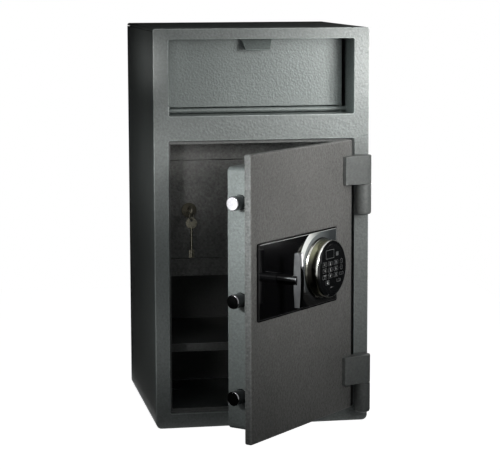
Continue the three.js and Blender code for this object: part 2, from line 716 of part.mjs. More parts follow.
// Door halves of the hinges: a strap that runs tangent to the knuckle, bored for the pin
const leafEndY = faceY - seam - leafEnd;
const leafEndDistance = Math.hypot(leafReach, leafEndY);
const tangentAngle = Math.atan2(leafEndY, -leafReach) + Math.acos(barrelRadius / leafEndDistance);
const leafShape = new THREE.Shape();
leafShape.moveTo(-leafReach, barrelRadius);
leafShape.lineTo(-leafReach, leafEndY);
leafShape.absarc(0, 0, barrelRadius, tangentAngle, 2.5 * Math.PI);
leafShape.closePath();
hingeBottoms.forEach((bottom, i) => {
  const leafBottom = bottom + barrelHeight + hingeLift;
  const boreTop = bottom + barrelHeight + pinHeight + 0.7;
  addPart(['hinge_leaf_lower', 'hinge_leaf_upper'][i], cut(
    plateXY(leafShape, leafBottom, leafBottom + leafHeight, 24),
    rodZ(pinRadius + pinClearance, 0, 0, leafBottom - 1, boreTop)), doorPaint, door);
});

// Boltwork casing: four walls with a flange turned in at the back, closed by a screwed cover
const casingX0 = doorFreeX + casingFreeInset;
const casingX1 = doorHingeX - casingHingeInset;
const casingZ0 = doorBottomZ + casingBottomInset;
const casingZ1 = doorTopEdgeZ - casingTopInset;
const casingY0 = doorBackY + seam;
const casingY1 = casingY0 + casingDepth;
const boltY = faceY + boltDepth;
const boltPitch = (casingZ1 - casingZ0) / 2 - boltEndInset;
const boltHeights = [-1, 0, 1].map((step) => doorMiddleZ - boltMiddleDrop + step * boltPitch);
const casingOutline = roundedRect(casingX0, casingX1, casingZ0, casingZ1, casingCorner);
const casingHollow = roundedRect(
  casingX0 + casingWall, casingX1 - casingWall, casingZ0 + casingWall, casingZ1 - casingWall,
  casingCorner - casingWall);
const casingWindow = roundedRect(
  casingX0 + casingFlange, casingX1 - casingFlange, casingZ0 + casingFlange, casingZ1 - casingFlange, 3);
addPart('boltwork_casing', cut(
  plateXZ(casingOutline, casingY0, casingY1),
  plateXZ(casingHollow, casingY0 - 1, casingY1 - casingWall),
  plateXZ(casingWindow, casingY1 - casingWall - 1, casingY1 + 1),
  ...boltHeights.map((z) => rodX(boltHoleRadius, casingX0 - 1, casingX0 + casingWall + 1, boltY, z, 32))),
doorPaint, door);
const coverShape = roundedRect(
  casingX0 + coverInset, casingX1 - coverInset, casingZ0 + coverInset, casingZ1 - coverInset, 3);
const coverY = casingY1 + seam;
addPart('boltwork_cover', plateXZ(coverShape, coverY, coverY + coverSheet), doorPaint, door);

// Three bolts, each turned with a stud that passes through the carriage
const boltTipX = casingX0 - boltReach;
const carriageX0 = boltTipX + boltLength;
const carriageX1 = carriageX0 + carriageThickness;
['bolt_lower', 'bolt_middle', 'bolt_upper'].forEach((name, i) => {
  const profile = [
    new THREE.Vector2(0, 0),
    new THREE.Vector2(boltRadius - boltChamfer, 0),
    new THREE.Vector2(boltRadius, boltChamfer),
    new THREE.Vector2(boltRadius, boltLength - seam),
    new THREE.Vector2(studRadius, boltLength - seam),
    new THREE.Vector2(studRadius, boltLength + studLength),
    new THREE.Vector2(0, boltLength + studLength),
  ];
  const bolt = addPart(name, new THREE.LatheGeometry(profile, 32).rotateZ(-Math.PI / 2), steel, door);
  bolt.position.set(boltTipX, boltY, boltHeights[i]);
});

// Crank: the pin swings evenly to both sides of the upright through half the handle's turn each way
const halfTurn = THREE.MathUtils.degToRad(handleTurn / 2);
const crankRadius = boltStroke / (2 * Math.sin(halfTurn));
const crankRise = crankRadius * Math.cos(halfTurn);

// Carriage: an upright bar that carries the bolts, with an arm for the crank slot and a notched tail
const armY0 = faceY + armDepth;
const armY1 = armY0 + armSheet;
const slotHalf = crankPinRadius + crankSlotClearance;
const slotX = spindleX + boltStroke / 2;
const slotBottom = furnitureZ + crankRise - slotHalf;
const slotTop = furnitureZ + crankRadius + slotHalf;
const lockBoltX1 = spindleX + lockCaseLeft - lockCaseWidth / 2 + lockBoltWidth / 2;
const lockBoltX0 = lockBoltX1 - lockBoltWidth;
const tailBottom = furnitureZ - 4.5;
const tailTop = furnitureZ + 16;
const tailEndX = lockBoltX1 + boltStroke + 10;
const notchDepth = lockBoltThrow;
const notchX0 = lockBoltX0 - 0.5;
const notchX1 = lockBoltX1 + 0.5 + boltStroke;
const armTop = slotTop + 6;
const armShape = polygon([
  [carriageX0 + 1, tailBottom],
  [notchX0, tailBottom],
  [notchX0 + boltStroke, tailBottom + notchDepth],
  [notchX1, tailBottom + notchDepth],
  [notchX1, tailBottom],
  [tailEndX, tailBottom],
  [tailEndX, tailTop],
  [slotX + slotHalf + 6, tailTop],
  [slotX + slotHalf + 6, armTop],
  [carriageX0 + 1, armTop],
]);
armShape.holes.push(roundedRect(
  slotX - slotHalf, slotX + slotHalf, slotBottom, slotTop, slotHalf - 0.05, slotHalf - 0.05, THREE.Path));
const carriageZ0 = boltHeights[0] - carriageEnd;
const carriageZ1 = boltHeights[2] + carriageEnd;
const carriageBar = block(
  carriageX0, carriageX1, armY0, armY0 + carriageWidth, carriageZ0, carriageZ1);
addPart('bolt_carriage', geometryOf(boltHeights.reduce(
  (body, z) => body.subtract(solid(rodX(studRadius + seam, carriageX0 - 1, carriageX1 + 1, boltY, z, 24))),
  solid(carriageBar).add(solid(plateXZ(armShape, armY0, armY1))))), darkSteel, door);

// Spindle with its crank disc and pin
const camY0 = faceY + camDepth;
const shaftTipY = faceY - panelThickness - 10;
const camY1 = camY0 + camThickness;
const crankCam = addPart('crank_cam', join(
  rodY(crankRadius + camRim, 0, camY0, camY1, 0),
  rodY(spindleRadius, 0, shaftTipY, camY0 + 1, 0, 24),
  rodY(crankPinRadius, boltStroke / 2, camY1 - 1, armY1 + 1.5, crankRise, 20)), darkSteel, door);
crankCam.position.set(spindleX, 0, furnitureZ);

// Handle: a neck over the spindle and an upright bar, thicker at its middle
const panelFrontY = faceY - seam - panelThickness;
const barY = faceY - handleStandoff;
const barHalf = handleBarHeight / 2;
const barShape = new THREE.Shape();
barShape.moveTo(-handleBarEnd / 2, -barHalf);
barShape.lineTo(handleBarEnd / 2, -barHalf);
barShape.quadraticCurveTo(handleBarMiddle - handleBarEnd / 2, 0, handleBarEnd / 2, barHalf);
barShape.lineTo(-handleBarEnd / 2, barHalf);
barShape.quadraticCurveTo(-handleBarMiddle + handleBarEnd / 2, 0, -handleBarEnd / 2, -barHalf);
const handleBar = plateYZ(barShape, -handleBarWidth / 2, handleBarWidth / 2, 10).translate(0, barY, 0);
const handle = addPart('t_handle', geometryOf(
  solid(handleBar)
    .add(solid(rodY(neckRadius, 0, barY, panelFrontY - seam, 0)))
    .subtract(solid(rodY(spindleRadius + seam, 0, shaftTipY - seam, panelFrontY, 0, 24)))), nickel, door);
handle.position.set(spindleX, 0, furnitureZ);

// Lock body on its hard plate, and the lock bolt that the notch in the tail works
const lockCaseX0 = (lockBoltX0 + lockBoltX1) / 2 - lockCaseWidth / 2;
const lockCaseX1 = lockCaseX0 + lockCaseWidth;
const lockCaseTop = tailBottom - 1.5;
const lockCaseBottom = lockCaseTop - lockCaseHeight;
const hardY0 = doorBackY + seam;
const lockCaseY0 = hardY0 + hardPlateThickness + seam;
addPart('hard_plate', block(
  lockCaseX0 - hardPlateMargin, lockCaseX1 + hardPlateMargin, hardY0, hardY0 + hardPlateThickness,
  lockCaseBottom - hardPlateMargin, lockCaseTop), darkSteel, door);
const lockBoltY0 = armY0 - 2;
const lockBoltTop = tailBottom - lockBoltGap / 4;
addPart('lock_case', cut(
  block(lockCaseX0, lockCaseX1, lockCaseY0, lockCaseY0 + lockCaseDepth, lockCaseBottom, lockCaseTop),
  block(lockBoltX0 - seam, lockBoltX1 + seam, lockBoltY0 - seam, lockBoltY0 + lockBoltThickness + seam,
    lockBoltTop - lockBoltLength - 1, lockCaseTop + 1)), castAlloy, door);
addPart('lock_bolt', block(
  lockBoltX0, lockBoltX1, lockBoltY0, lockBoltY0 + lockBoltThickness,
  lockBoltTop - lockBoltLength, lockBoltTop), nickel, door);

// Escutcheon panel behind the handle and keypad
const panelX = doorFreeX + panelFreeInset;
const panelShape = roundedRect(
  panelX, panelX + panelWidth, furnitureZ - panelHeight / 2, furnitureZ + panelHeight / 2, panelCorner);
addPart('escutcheon_panel', cut(
  plateXZ(panelShape, panelFrontY, faceY - seam, 0.8, 4),
  rodY(spindleRadius + 0.5, spindleX, panelFrontY - 1, faceY, furnitureZ, 24)), blackGloss, door);

// Keypad housing, turned about its own axis and open towards the front
const keypadFloor = keypadHeight - keypadFaceThickness - seam;
const keypadProfile = [
  new THREE.Vector2(0, 0),
  new THREE.Vector2(keypadBaseRadius, 0),
  new THREE.Vector2(keypadBaseRadius, keypadBaseHeight),
  new THREE.Vector2(keypadBodyRadius, keypadBaseHeight + 1.6),
  new THREE.Vector2(keypadRimRadius, keypadRimHeight),
  new THREE.Vector2(keypadFaceRadius + 1.2, keypadHeight),
  new THREE.Vector2(keypadFaceRadius + seam, keypadHeight),
  new THREE.Vector2(keypadFaceRadius + seam, keypadFloor),
  new THREE.Vector2(0, keypadFloor),
];
const keypadBaseY = panelFrontY - seam;
const keypadFront = keypadBaseY - keypadHeight;
const keypadHousing = addPart(
  'keypad_housing', new THREE.LatheGeometry(keypadProfile, 48).rotateX(Math.PI), nickel, door);
keypadHousing.position.set(keypadX, keypadBaseY, furnitureZ);

// Keys: ten digits, two round and two flat ones, each in its own hole of the face
function keyOutline(kind, x, z, clearance) {
  const Kind = THREE.Shape;
  if (kind === 'round') {
    const circle = new Kind();
    circle.absarc(x, z, roundKeyRadius + clearance, 0, 2 * Math.PI);
    return circle;
  }
  const halfX = keyWidth / 2 + clearance;
  const halfZ = (kind === 'flat' ? flatKeyHeight : keyHeight) / 2 + clearance;
  return roundedRect(x - halfX, x + halfX, z - halfZ, z + halfZ, keyCorner);
}

const keyRows = [
  [['1', -1.5], ['2', -0.5], ['3', 0.5], ['cancel', 1.5, 'round']],
  [['4', -1.5], ['5', -0.5], ['6', 0.5], ['program', 1.5, 'round']],
  [['7', -1.5], ['8', -0.5], ['9', 0.5], ['clear', 1.5, 'flat']],
  [['0', -1], ['enter', 1, 'flat']],
];
const keys = keyRows.flatMap((row, r) => row.map(([label, column, kind = 'square']) => ({
  name: `key_${label}`,
  kind,
  x: column * keyPitchAcross,
  z: keyTopRow - r * keyPitchDown,
})));
const faceDisc = rodY(keypadFaceRadius, 0, 0, keypadFaceThickness, 0, 48);
const keypadFace = addPart('keypad_face', geometryOf(keys.reduce(
  (body, key) => body.subtract(solid(plateXZ(
    keyOutline(key.kind, key.x, key.z, seam), -1, keypadFaceThickness + 1, 0, 3))),
  solid(faceDisc))), blackGloss, door);
keypadFace.position.set(keypadX, keypadFront, furnitureZ);
for (const key of keys) {
  const capOutline = keyOutline(key.kind, key.x, key.z, 0);
  const cap = addPart(
    key.name, plateXZ(capOutline, -keyProud, keyLength - keyProud, 0, 3), blackKey, door);
  cap.position.set(keypadX, keypadFront, furnitureZ);
}

export default safe;
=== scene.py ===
import json
import math

import bmesh
import bpy
from mathutils import Matrix, Vector

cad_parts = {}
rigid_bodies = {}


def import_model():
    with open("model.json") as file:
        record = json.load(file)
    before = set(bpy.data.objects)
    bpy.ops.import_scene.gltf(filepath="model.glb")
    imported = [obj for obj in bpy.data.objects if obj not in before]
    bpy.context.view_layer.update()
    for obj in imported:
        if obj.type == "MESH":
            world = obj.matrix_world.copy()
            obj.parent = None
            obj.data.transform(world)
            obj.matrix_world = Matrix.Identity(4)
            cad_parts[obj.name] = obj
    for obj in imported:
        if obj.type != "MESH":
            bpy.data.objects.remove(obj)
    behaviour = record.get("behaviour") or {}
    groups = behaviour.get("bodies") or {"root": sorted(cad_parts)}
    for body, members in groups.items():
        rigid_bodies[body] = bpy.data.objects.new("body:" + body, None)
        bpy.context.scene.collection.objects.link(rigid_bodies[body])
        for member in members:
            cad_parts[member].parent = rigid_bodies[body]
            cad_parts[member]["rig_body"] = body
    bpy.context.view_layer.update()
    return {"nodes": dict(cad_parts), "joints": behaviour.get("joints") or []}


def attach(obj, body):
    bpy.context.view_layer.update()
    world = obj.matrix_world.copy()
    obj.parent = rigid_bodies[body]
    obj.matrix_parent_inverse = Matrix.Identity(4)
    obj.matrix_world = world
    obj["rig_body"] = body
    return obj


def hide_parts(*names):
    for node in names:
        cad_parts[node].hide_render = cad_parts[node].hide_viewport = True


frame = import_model()
scene = bpy.context.scene
scene.view_settings.view_transform = "Standard"

# Camera
# A long lens three metres off, a little left of the front and above the middle of the safe.
camera_place = Vector((-0.55983, -3.13630, 0.74845))
yaw, pitch, roll = (math.radians(angle) for angle in (10.3158, 8.13095, -0.1478))
forward = Vector((math.sin(yaw) * math.cos(pitch), math.cos(yaw) * math.cos(pitch), -math.sin(pitch)))
level_right = Vector((math.cos(yaw), -math.sin(yaw), 0))
level_up = level_right.cross(forward)
camera_right = math.cos(roll) * level_right + math.sin(roll) * level_up
camera_up = math.cos(roll) * level_up - math.sin(roll) * level_right
camera_data = bpy.data.cameras.new("camera")
camera_data.sensor_width = 36
camera_data.lens = 133.816
camera_data.clip_end = 30
camera = bpy.data.objects.new("camera", camera_data)
axes = Matrix((camera_right, camera_up, -forward)).transposed()
camera.matrix_world = Matrix.Translation(camera_place) @ axes.to_4x4()
scene.collection.objects.link(camera)
scene.camera = camera

# Studio floor and surroundings
# A pale sheet under the safe and a white studio round it, both as bright as paper to the eye of the lens.
mm = 0.001


def add_node(material, kind, inputs=(), **settings):
    """One shader node; a socket given as an input is linked, and any other value is set."""
    tree = material.node_tree
    made = tree.nodes.new("ShaderNode" + kind)
    for key, value in settings.items():
        setattr(made, key, value)
    for key, value in dict(inputs).items():
        if isinstance(value, bpy.types.NodeSocket):
            tree.links.new(value, made.inputs[key])
        else:
            made.inputs[key].default_value = value
    return made


def new_material(name, empty=False):
    """A node material, with its Principled BSDF or emptied."""
    material = bpy.data.materials.new(name)
    material.use_nodes = True
    if empty:
        material.node_tree.nodes.clear()
    return material


def seen_directly(material):
    """1 for what the lens, a gloss or a glass shows, and 0 for the light that bounces about."""
    path = add_node(material, "LightPath")
    first = add_node(material, "Math", {
        0: path.outputs["Is Camera Ray"], 1: path.outputs["Is Glossy Ray"]}, operation="MAXIMUM")
    return add_node(material, "Math", {
        0: first.outputs[0], 1: path.outputs["Is Transmission Ray"]}, operation="MAXIMUM").outputs[0]


room_light = 0.15
world = bpy.data.worlds.new("studio")
world.use_nodes = True
world.node_tree.nodes.clear()
dim = add_node(world, "Background", {"Color": (0.95, 1.0, 0.99, 1), "Strength": room_light})
white = add_node(world, "Background", {"Color": (1, 1, 1, 1), "Strength": 1.0})
shown = add_node(world, "MixShader", {0: seen_directly(world), 1: dim.outputs[0], 2: white.outputs[0]})
add_node(world, "OutputWorld", {"Surface": shown.outputs[0]})
scene.world = world

floor_half_width, floor_half_depth, floor_middle = 0.75, 1.1, 0.1
floor_drop = 0.5 * mm
floor_colour = (0.6, 0.61, 0.61, 1)
floor_glow = 0.98
floor_paper = new_material("floor_paper", empty=True)
paper = add_node(floor_paper, "BsdfDiffuse", {"Color": floor_colour})
glow = add_node(floor_paper, "Emission", {"Color": (1, 1, 1, 1), "Strength": floor_glow})
lit_paper = add_node(floor_paper, "AddShader", {0: paper.outputs[0], 1: glow.outputs[0]})
floor_mix = add_node(floor_paper, "MixShader", {
    0: seen_directly(floor_paper), 1: paper.outputs[0], 2: lit_paper.outputs[0]})
add_node(floor_paper, "OutputMaterial", {"Surface": floor_mix.outputs[0]})


def new_object(name, mesh, *materials):
    """An object at the origin with its place in its mesh."""
    made = bpy.data.objects.new(name, mesh)
    for material in materials:
        mesh.materials.append(material)
    scene.collection.objects.link(made)
    return made


def card(name, centre, across, up, material):
    """A flat rectangle, given by its centre and its two half sides."""
    bm = bmesh.new()
    centre, across, up = Vector(centre), Vector(across), Vector(up)
    corners = [bm.verts.new(centre + a * across + b * up) for a, b in ((-1, -1), (1, -1), (1, 1), (-1, 1))]
    bm.faces.new(corners)
    mesh = bpy.data.meshes.new(name)
    bm.to_mesh(mesh)
    bm.free()
    made = new_object(name, mesh, material)
    return made


card("floor", (0, floor_middle, -floor_drop), (floor_half_width, 0, 0), (0, floor_half_depth, 0), floor_paper)

# Black flags
# Felt screens stand out of sight beside, behind and over the safe and lie on the floor round it, so that
# gloss black and the shaded faces stay dark. Two small bright cards are left out of sight as well, for the
# end of the top bolt and for the upper part of the handle's front.
felt = new_material("black_felt")
felt.node_tree.nodes["Principled BSDF"].inputs["Base Color"].default_value = (0.012, 0.012, 0.012, 1)
felt.node_tree.nodes["Principled BSDF"].inputs["Specular IOR Level"].default_value = 0
glint_strength = 4.0
glint_card = new_material("glint_card", empty=True)
glint = add_node(glint_card, "Emission", {"Color": (1, 1, 1, 1), "Strength": glint_strength})
add_node(glint_card, "OutputMaterial", {"Surface": glint.outputs[0]})
off_floor = 0.5 * mm
unseen_cards = [
    card("flag_left", (-0.80, 0.0, 0.75), (0, 1.3, 0), (0, 0, 0.85), felt),
    card("flag_behind", (0.075, 1.3, 1.35), (0.875, 0, 0), (0, 0, 1.45), felt),
    card("flag_right", (0.95, 0.25, 0.60), (0, 0.95, 0), (0, 0, 0.70), felt),
    card("flag_over", (0.0, 0.16, 0.85), (0.32, 0, 0), (0, 0.32, 0), felt),
    card("flag_low", (-0.40, 0.10, 0.12), (0, 0.26, 0), (0, 0, 0.13), felt),
    card("floor_flag_left", (-0.49, 0.55, off_floor), (0.30, 0, 0), (0, 0.74, 0), felt),
    card("floor_flag_front", (-0.02, -0.60, off_floor), (0.77, 0, 0), (0, 0.40, 0), felt),
    card("floor_flag_right", (0.47, 0.20, off_floor), (0.28, 0, 0), (0, 0.39, 0), felt),
    card("glint_bolt", (-0.79, -0.58, 0.315), (0, 0.09, 0), (0, 0, 0.09), glint_card),
    card("glint_handle", (0.94, -0.155, 0.35), (0, 0.028, 0), (0, 0, 0.155), glint_card),
]
seen_by_gloss_alone = ("floor_flag_left", "floor_flag_front", "floor_flag_right", "glint_handle")
for unseen in unseen_cards:
    unseen.visible_camera = False
    unseen.visible_shadow = False
    unseen.visible_diffuse = unseen.name not in seen_by_gloss_alone
# A black felt card under the safe is painted shade for the covered floor, and keeps the white floor from
# showing through its anchor holes
card("shade_card_under", (0, 0, -0.2 * mm), (0.16, 0, 0), (0, 0.16, 0), felt)


# Lamps
# Small soft boxes with narrow grids follow the photograph's fall of light: two before the upper right
# corner, one for the door's face, two for its edge and casing, three down the left of the frame, a faint
# one for the left side and one behind the right.
def soft_box(name, place, aim, size, power, colour, spread):
    data = bpy.data.lights.new(name, "AREA")
    data.shape = "RECTANGLE"
    data.size = size
    data.size_y = size
    data.energy = power
    data.color = colour
    data.spread = math.radians(spread)
    lamp = bpy.data.objects.new(name, data)
    facing = (Vector(aim) - Vector(place)).to_track_quat("-Z", "Y").to_matrix().to_4x4()
    lamp.matrix_world = Matrix.Translation(Vector(place)) @ facing
    lamp.visible_camera = False
    scene.collection.objects.link(lamp)


# Name, place, aim, size in metres, power in watts, colour, spread in degrees
for box in (
        ("key_lamp", (0.30, -0.50, 0.70), (0.17, -0.17, 0.62), 0.20, 0.34, (1.0, 1.0, 0.98), 100),
        ("corner_lamp", (0.26, -0.42, 0.59), (0.195, -0.17, 0.61), 0.10, 0.17, (1.0, 1.0, 0.98), 80),
        ("door_lamp", (0.60, -1.20, 0.64), (0.07, -0.30, 0.42), 0.30, 0.62, (1.0, 0.99, 0.97), 40),
        ("side_lamp", (-0.75, -0.78, 0.60), (-0.05, -0.40, 0.46), 0.15, 0.165, (0.95, 1.0, 0.99), 30),
        ("low_side_lamp", (-0.75, -0.78, 0.50), (-0.05, -0.40, 0.32), 0.15, 0.34, (0.95, 1.0, 0.99), 40),
        ("frame_lamp", (-0.45, -0.90, 0.60), (-0.205, -0.17, 0.60), 0.03, 0.016, (1.0, 0.98, 0.97), 9),
        ("jamb_lamp", (-0.45, -0.90, 0.50), (-0.195, -0.17, 0.43), 0.10, 0.024, (1.0, 0.99, 0.98), 14),
        ("sill_lamp", (-0.45, -0.90, 0.24), (-0.195, -0.17, 0.14), 0.08, 0.012, (1.0, 1.0, 1.0), 18),
        ("left_fill", (-0.90, -0.10, 0.45), (-0.178, 0.0, 0.42), 0.30, 0.05, (1.0, 1.0, 1.0), 60),
        ("back_lamp", (0.80, 1.15, 0.50), (0.05, 0.15, 0.36), 0.50, 1.3, (1.0, 1.0, 1.0), 40)):
    soft_box(*box)

# Body shell
# Sheet steel, bent and welded, with its back and top let in. Its hammered grey enamel is sprayed thick and
# dries in small dimples. Its rounded edges are painted lighter, a painted highlight; the inside faces get a
# near-black copy of the enamel, painted shade.
noise_span = (0.3, 0.7)  # between these nearly all of a noise texture lies


def feed(material, socket_name, value):
    """Links a value to a socket of the material's Principled BSDF."""
    material.node_tree.links.new(value, material.node_tree.nodes["Principled BSDF"].inputs[socket_name])


def object_place(material):
    return add_node(material, "TexCoord").outputs["Object"]


def noise(material, place, scale, **more):
    inputs = {"Vector": place, "Scale": scale}
    inputs.update((key.capitalize(), value) for key, value in more.items())
    return add_node(material, "TexNoise", inputs)


def math_node(material, operation, first, second=0.0, third=0.0):
    return add_node(material, "Math", {0: first, 1: second, 2: third}, operation=operation).outputs[0]


def ramp(material, value, low, high, first=0.0, last=1.0):
    """Runs from first to last as the value goes from low to high, and stays at either beyond them."""
    return add_node(material, "MapRange", {
        "Value": value, "From Min": low, "From Max": high, "To Min": first, "To Max": last}).outputs[0]


def tinted(material, colour, shade):
    return add_node(material, "VectorMath", {0: colour, 3: shade}, operation="SCALE").outputs[0]


def bumped(material, height, strength, distance):
    feed(material, "Normal", add_node(material, "Bump", {
        "Height": height, "Strength": strength, "Distance": distance}).outputs[0])


def hammered_enamel(
        name, colour, roughness=0.45, relief=0.45, dimple=4.2 * mm, speckle=0.2, edge_highlight=2.1):
    """Dimpled and speckled paint, with a painted highlight: the faces marked as rounding an edge are made
    lighter by the given factor.
    """
    roughness_swing, enamel_gloss, relief_depth = 0.07, 0.4, 1.0 * mm
    material = new_material(name)
    place = object_place(material)
    clouds = noise(material, place, 11.0, detail=3.0).outputs["Fac"]
    warp = noise(material, place, 0.5 / dimple, detail=1.0).outputs["Color"]
    nudge = add_node(material, "VectorMath", {0: warp, 1: (0.8 * dimple,) * 3}, operation="MULTIPLY")
    moved = add_node(material, "VectorMath", {0: place, 1: nudge.outputs[0]}, operation="ADD")
    cells = add_node(material, "TexVoronoi", {
        "Vector": moved.outputs[0], "Scale": 1 / dimple, "Smoothness": 0.9}, feature="SMOOTH_F1")
    flake = noise(material, place, 1.1 / dimple, detail=4.0, roughness=0.65).outputs["Fac"]
    # Painted highlight: the faces marked as rounding an edge are made lighter by the given factor
    edge = add_node(material, "Attribute", attribute_name="painted_edge_light").outputs["Fac"]
    shade = ramp(material, clouds, *noise_span, 0.93, 1.07)
    speck = ramp(material, flake, *noise_span, 1 - speckle, 1 + speckle)
    grain = math_node(material, "MULTIPLY", shade, speck)
    tone = math_node(material, "MULTIPLY", grain, ramp(material, edge, 0.0, 1.0, 1.0, edge_highlight))
    feed(material, "Base Color", tinted(material, colour, tone))
    feed(material, "Roughness", ramp(
        material, flake, *noise_span, roughness - roughness_swing, roughness + roughness_swing))
    bumped(material, math_node(material, "ADD", cells.outputs["Distance"], flake), relief, relief_depth)
    material.node_tree.nodes["Principled BSDF"].inputs["Specular IOR Level"].default_value = enamel_gloss
    return material


def merged_copy(node_name):
    """A CAD node's triangles, joined up and with its flat faces made whole."""
    bm = bmesh.new()
    bm.from_mesh(frame["nodes"][node_name].data)
    bmesh.ops.remove_doubles(bm, verts=bm.verts, dist=0.01 * mm)
    bmesh.ops.dissolve_limit(bm, angle_limit=math.radians(0.8), verts=bm.verts, edges=bm.edges)
    return bm


def round_edges(bm, radius):
    """Rounds every edge that turns more than the least turn and marks the new faces for a painted highlight.
    """
    least_turn = math.radians(40)
    edge_light_layer = bm.faces.layers.float.new("painted_edge_light")
    sharp = [e for e in bm.edges if len(e.link_faces) == 2 and e.calc_face_angle() > least_turn]
    made = bmesh.ops.bevel(
        bm, geom=sharp, offset=radius, offset_type="OFFSET", segments=2, profile=0.5,
        affect="EDGES", clamp_overlap=False, material=-1)
    for face in made["faces"]:
        face[edge_light_layer] = 1.0


def mark_rounding(bm, turn):
    """Marks the narrow faces that round an edge, which face none of the part's own six directions, for a
    painted highlight.
    """
    square_on = 0.995
    edge_light_layer = bm.faces.layers.float.new("painted_edge_light")
    for face in bm.faces:
        own = turn @ face.normal
        face[edge_light_layer] = 1.0 if max(abs(own.x), abs(own.y), abs(own.z)) < square_on else 0.0


def stand_in(bm, name, node_name, slot_name, *materials):
    """Puts a finished mesh in the place of a CAD node, smooth over small steps and crisp at corners."""
    for face in bm.faces:
        face.smooth = True
    mesh = bpy.data.meshes.new(name)
    bm.to_mesh(mesh)
    bm.free()
    mesh.set_sharp_from_angle(angle=math.radians(50))
    made = new_object(name, mesh, *materials)
    weighting = made.modifiers.new("even_shading", "WEIGHTED_NORMAL")
    weighting.keep_sharp = True
    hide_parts(node_name)
    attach(made, frame["nodes"][node_name]["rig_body"])


def sheet_part(node_name, material, slot_name, radius=0.45 * mm):
    """A folded, sawn or cut part: the CAD node with its edges broken, or with its own rounding marked."""
    bm = merged_copy(node_name)
    if radius:
        round_edges(bm, radius)
    else:
        mark_rounding(bm, Matrix.Identity(3))
    stand_in(bm, node_name + "_skin", node_name, slot_name, material)


body_enamel = hammered_enamel("body_enamel", (0.155, 0.169, 0.166))
# Painted shade: the inside faces of the wrap and back get a near-black copy of the body enamel
inside_shade_enamel = hammered_enamel("inside_shade_enamel", (0.055, 0.057, 0.056), roughness=0.6)
inside_half_width, inside_back, inside_floor = 174.4 * mm, 172 * mm, 3.6 * mm
for shell_part in ("body_wrap", "back_plate"):
    bm = merged_copy(shell_part)
    round_edges(bm, 0.45 * mm)
    for face in bm.faces:
        centre = face.calc_center_median()
        if abs(centre.x) < inside_half_width and centre.y < inside_back and centre.z > inside_floor:
            face.material_index = 1
    stand_in(bm, shell_part + "_skin", shell_part, "body_paint", body_enamel, inside_shade_enamel)
sheet_part("top_plate", body_enamel, "body_paint", 0.4 * mm)

# Front frame and door jamb
# The frame is flame-cut from thick plate and its edges ground round; the jamb is folded sheet, welded in
# behind it.
sheet_part("front_frame", body_enamel, "body_paint", 0)
# Painted shade: the jamb, baffle, vault ceiling, locker floor, shelf and rails get a darker copy of the body
# enamel
inner_shade_enamel = hammered_enamel("inner_shade_enamel", (0.115, 0.118, 0.116), roughness=0.5)
sheet_part("door_jamb", inner_shade_enamel, "body_paint", 0.3 * mm)

# Deposit housing and hopper
# A sheet hood stands behind the upper opening; the hopper's face, cheeks and tray tilt in it on one rod.
# Hood, hopper and rod are sprayed together in a finer, lighter hammered enamel.
hopper_enamel = hammered_enamel(
    "hopper_enamel", (0.147, 0.168, 0.164), roughness=0.42, relief=0.42, dimple=3.4 * mm)
sheet_part("deposit_housing", hopper_enamel, "hopper_paint", 0.3 * mm)
sheet_part("antifish_baffle", inner_shade_enamel, "inner_paint", 0.3 * mm)
sheet_part("hopper_face", hopper_enamel, "hopper_paint", 0.35 * mm)
for bent_part in ("hopper_cheek_left", "hopper_cheek_right", "hopper_tray"):
    sheet_part(bent_part, hopper_enamel, "hopper_paint", 0.4 * mm)
sheet_part("hopper_pivot_rod", hopper_enamel, "polished_steel", 0.3 * mm)


# Vault ceiling, locker front and floor
# Thin painted plates welded across the vault; the locker's door swings on a bright pin at its right edge.
def bare_metal(name, colour, roughness, lines=(1, 1, 1), fineness=900.0, relief=0.05, spread=0.08):
    """Uncoated metal; lines stretches its tool marks along an axis. A colour of None is fed in later."""
    marks_span, relief_depth = (0.7, 1.3), 0.05 * mm
    material = new_material(name)
    place = object_place(material)
    drawn = add_node(material, "Mapping", {"Vector": place, "Scale": lines}).outputs[0]
    marks = noise(material, drawn, fineness, detail=3.0).outputs["Fac"]
    smears = noise(material, place, 60.0, detail=2.0).outputs["Fac"]
    both = math_node(material, "ADD", marks, smears)
    if colour:
        feed(material, "Base Color", tinted(material, colour, ramp(material, both, *marks_span, 0.9, 1.08)))
    feed(material, "Roughness", ramp(material, both, *marks_span, roughness - spread, roughness + spread))
    material.node_tree.nodes["Principled BSDF"].inputs["Metallic"].default_value = 1
    if relief:
        bumped(material, marks, relief, relief_depth)
    return material


sheet_part("vault_ceiling", inner_shade_enamel, "inner_paint", 0.3 * mm)
# Painted shade: the locker's frame and door get a darker copy of the body enamel
locker_shade_enamel = hammered_enamel(
    "locker_shade_enamel", (0.132, 0.132, 0.128), roughness=0.5, relief=1.0, speckle=0.4)
sheet_part("locker_frame", locker_shade_enamel, "inner_paint", 0.35 * mm)
sheet_part("locker_floor", inner_shade_enamel, "inner_paint")
sheet_part("locker_door", locker_shade_enamel, "inner_paint", 0.3 * mm)
bright_rod = bare_metal("bright_rod", (0.42, 0.43, 0.42), 0.38, (0.05, 1, 1))
sheet_part("locker_hinge_rod", bright_rod, "polished_steel", 0)

